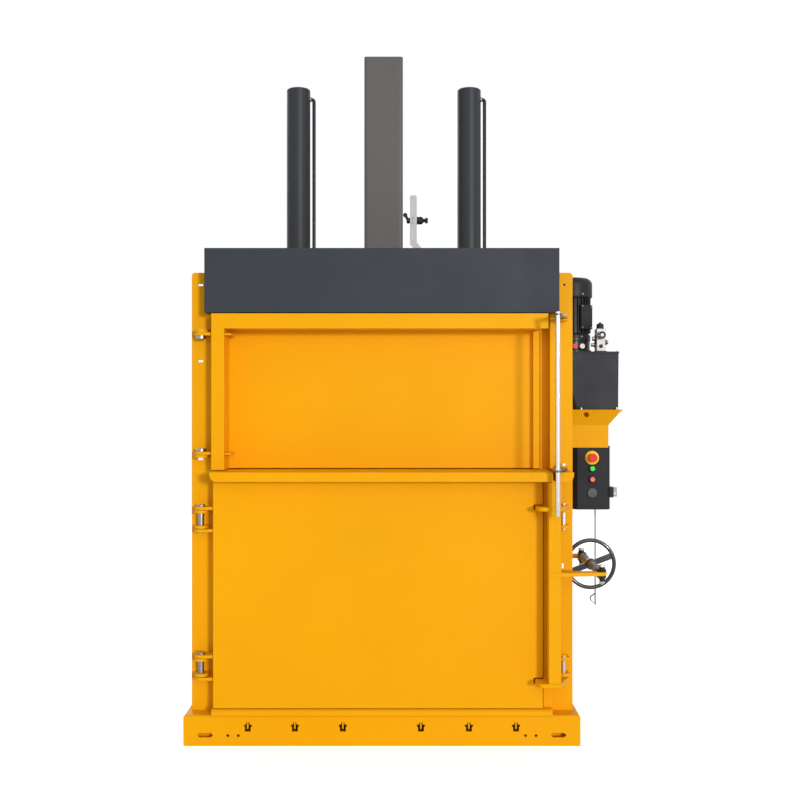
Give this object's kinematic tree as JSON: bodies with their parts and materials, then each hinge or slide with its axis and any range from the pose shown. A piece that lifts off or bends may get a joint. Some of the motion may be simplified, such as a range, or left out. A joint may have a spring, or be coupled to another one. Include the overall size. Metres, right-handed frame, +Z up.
{
  "type": "recycling baler",
  "caption": "Upright recycling baler with a press plate on two cylinders, a loading hatch, a lower door with a screw lock, a pump unit and a control box.",
  "frame": {"origin": "on the floor, midway between the columns, level with the front faces of their flanges", "axes": "+X to the right seen from the front, +Y to the back, +Z up"},
  "size_m": [1.87, 1.23, 2.971],
  "materials": {
    "yellow_paint": "semi-gloss powder coat",
    "grey_paint": "satin powder coat",
    "mast_paint": "satin",
    "bright_steel": "machined",
    "chrome": "polished",
    "zinc": "galvanised",
    "black_metal": "black, semi-gloss",
    "black_plastic": "satin",
    "black_case": "satin powder coat",
    "grey_plastic": "matt",
    "guide_plastic": "matt nylon",
    "red_plastic": "gloss",
    "orange_plastic": "gloss",
    "green_plastic": "gloss",
    "yellow_plastic": "gloss",
    "white_plastic": "gloss",
    "motor_paint": "satin"
  },
  "bodies": {
    "machine": {"base_frame": "yellow_paint", "bell_housing": "black_metal", "buzzer": "grey_plastic", "cabinet_brackets": "yellow_paint", "cabinet_trims": "black_plastic", "chamber_floor": "yellow_paint", "control_cabinet": "black_case", "cylinder_barrels": "grey_paint", "head_cover": "grey_paint", "head_frame": "yellow_paint", "hydraulic_pipes": "black_metal", "latch_console": "yellow_paint", "left_hinge_ears": "yellow_paint", "left_hinge_pins": "bright_steel", "limit_switch": "black_plastic", "mast_guides": "guide_plastic", "motor_body": "motor_paint", "motor_cowl": "motor_paint", "mounting_bolts": "bright_steel", "oil_tank": "grey_paint", "pipe_fittings": "bright_steel", "pressure_gauge": "bright_steel", "rear_wall": "yellow_paint", "red_plug": "red_plastic", "right_hinge_ears": "yellow_paint", "right_hinge_pins": "bright_steel", "screw_lug": "yellow_paint", "side_frame_left": "yellow_paint", "side_frame_right": "yellow_paint", "stop_disc": "yellow_plastic", "strap_tool": "bright_steel", "switch_strip": "zinc", "tank_lid": "grey_paint", "tank_shelf": "yellow_paint", "valve_block": "bright_steel", "valve_coil": "black_plastic", "white_plug": "white_plastic"},
    "ram": {"press_plate": "bright_steel", "ram_mast": "mast_paint", "cylinder_rods": "bright_steel"},
    "door": {"door_panel": "yellow_paint", "door_lining": "yellow_paint", "door_ledge": "yellow_paint"},
    "hatch": {"hatch_frame": "yellow_paint", "hatch_panel": "yellow_paint"},
    "lock": {"lock_bar": "yellow_paint", "lock_claws": "yellow_paint", "lock_arm": "yellow_paint"},
    "rear_link": {"rear_fork": "black_metal"},
    "sleeve": {"screw_sleeve": "grey_plastic", "hand_wheel": "black_metal"},
    "front_link": {"front_fork": "black_metal"},
    "latch": {"latch_arms": "yellow_paint", "latch_rod": "chrome"},
    "fan": {"motor_fan": "black_plastic"},
    "stop": {"stop_button": "red_plastic"},
    "start": {"start_button": "green_plastic"},
    "reset": {"reset_button": "orange_plastic"},
    "switch": {"main_switch_handle": "black_plastic"},
    "lever": {"switch_lever": "black_plastic"}
  },
  "joints": [
    {"name": "ram_slide", "type": "slide", "parent": "machine", "child": "ram", "axis": [0, 0, 1], "range_m": [-0.848, 0]},
    {"name": "door_hinge", "type": "hinge", "parent": "machine", "child": "door", "pos_m": [-0.749, -0.04, 0.62], "axis": [0, 0, -1], "range_deg": [0, 120]},
    {"name": "hatch_hinge", "type": "hinge", "parent": "machine", "child": "hatch", "pos_m": [-0.749, -0.04, 1.45], "axis": [0, 0, -1], "range_deg": [0, 120]},
    {"name": "latch_swing", "type": "hinge", "parent": "machine", "child": "latch", "pos_m": [0.751, -0.04, 1.45], "axis": [0, 0, 1], "range_deg": [0, 100]},
    {"name": "lock_swing", "type": "hinge", "parent": "machine", "child": "lock", "pos_m": [0.751, -0.04, 0.7], "axis": [0, 0, 1], "range_deg": [0, 16]},
    {"name": "screw_pivot", "type": "hinge", "parent": "machine", "child": "rear_link", "pos_m": [0.894, 0.382, 0.714], "axis": [0, 0, 1], "range_deg": [0, 2.4]},
    {"name": "wheel_turn", "type": "hinge", "parent": "rear_link", "child": "sleeve", "pos_m": [0.894, 0.115, 0.714], "axis": [0, 1, 0], "range_deg": [0, 361]},
    {"name": "screw_slide", "type": "slide", "parent": "rear_link", "child": "front_link", "axis": [0, 1, 0], "range_m": [0, 0.0427]},
    {"name": "fan_spin", "type": "hinge", "parent": "machine", "child": "fan", "pos_m": [0.862, 0.47, 1.91], "axis": [0, 0, 1], "continuous": true},
    {"name": "stop_press", "type": "slide", "parent": "machine", "child": "stop", "axis": [0, 1, 0], "range_m": [0, 0.005], "stiffness_N_per_m": 1500},
    {"name": "start_press", "type": "slide", "parent": "machine", "child": "start", "axis": [0, 1, 0], "range_m": [0, 0.003], "stiffness_N_per_m": 1200},
    {"name": "reset_press", "type": "slide", "parent": "machine", "child": "reset", "axis": [0, 1, 0], "range_m": [0, 0.003], "stiffness_N_per_m": 1200},
    {"name": "main_switch_turn", "type": "hinge", "parent": "machine", "child": "switch", "pos_m": [1, 0.24, 1.015], "axis": [1, 0, 0], "range_deg": [0, 90]},
    {"name": "lever_swing", "type": "hinge", "parent": "machine", "child": "lever", "pos_m": [0.111, 0.48, 2.247], "axis": [0, 1, 0], "range_deg": [0, 25], "stiffness_Nm_per_rad": 0.6}
  ],
  "couplings": [
    {"joint": "screw_pivot", "follows": "lock_swing", "ratio": 0.1473},
    {"joint": "wheel_turn", "follows": "lock_swing", "ratio": 22.5},
    {"joint": "screw_slide", "follows": "lock_swing", "m_per_rad": 0.1522}
  ]
}
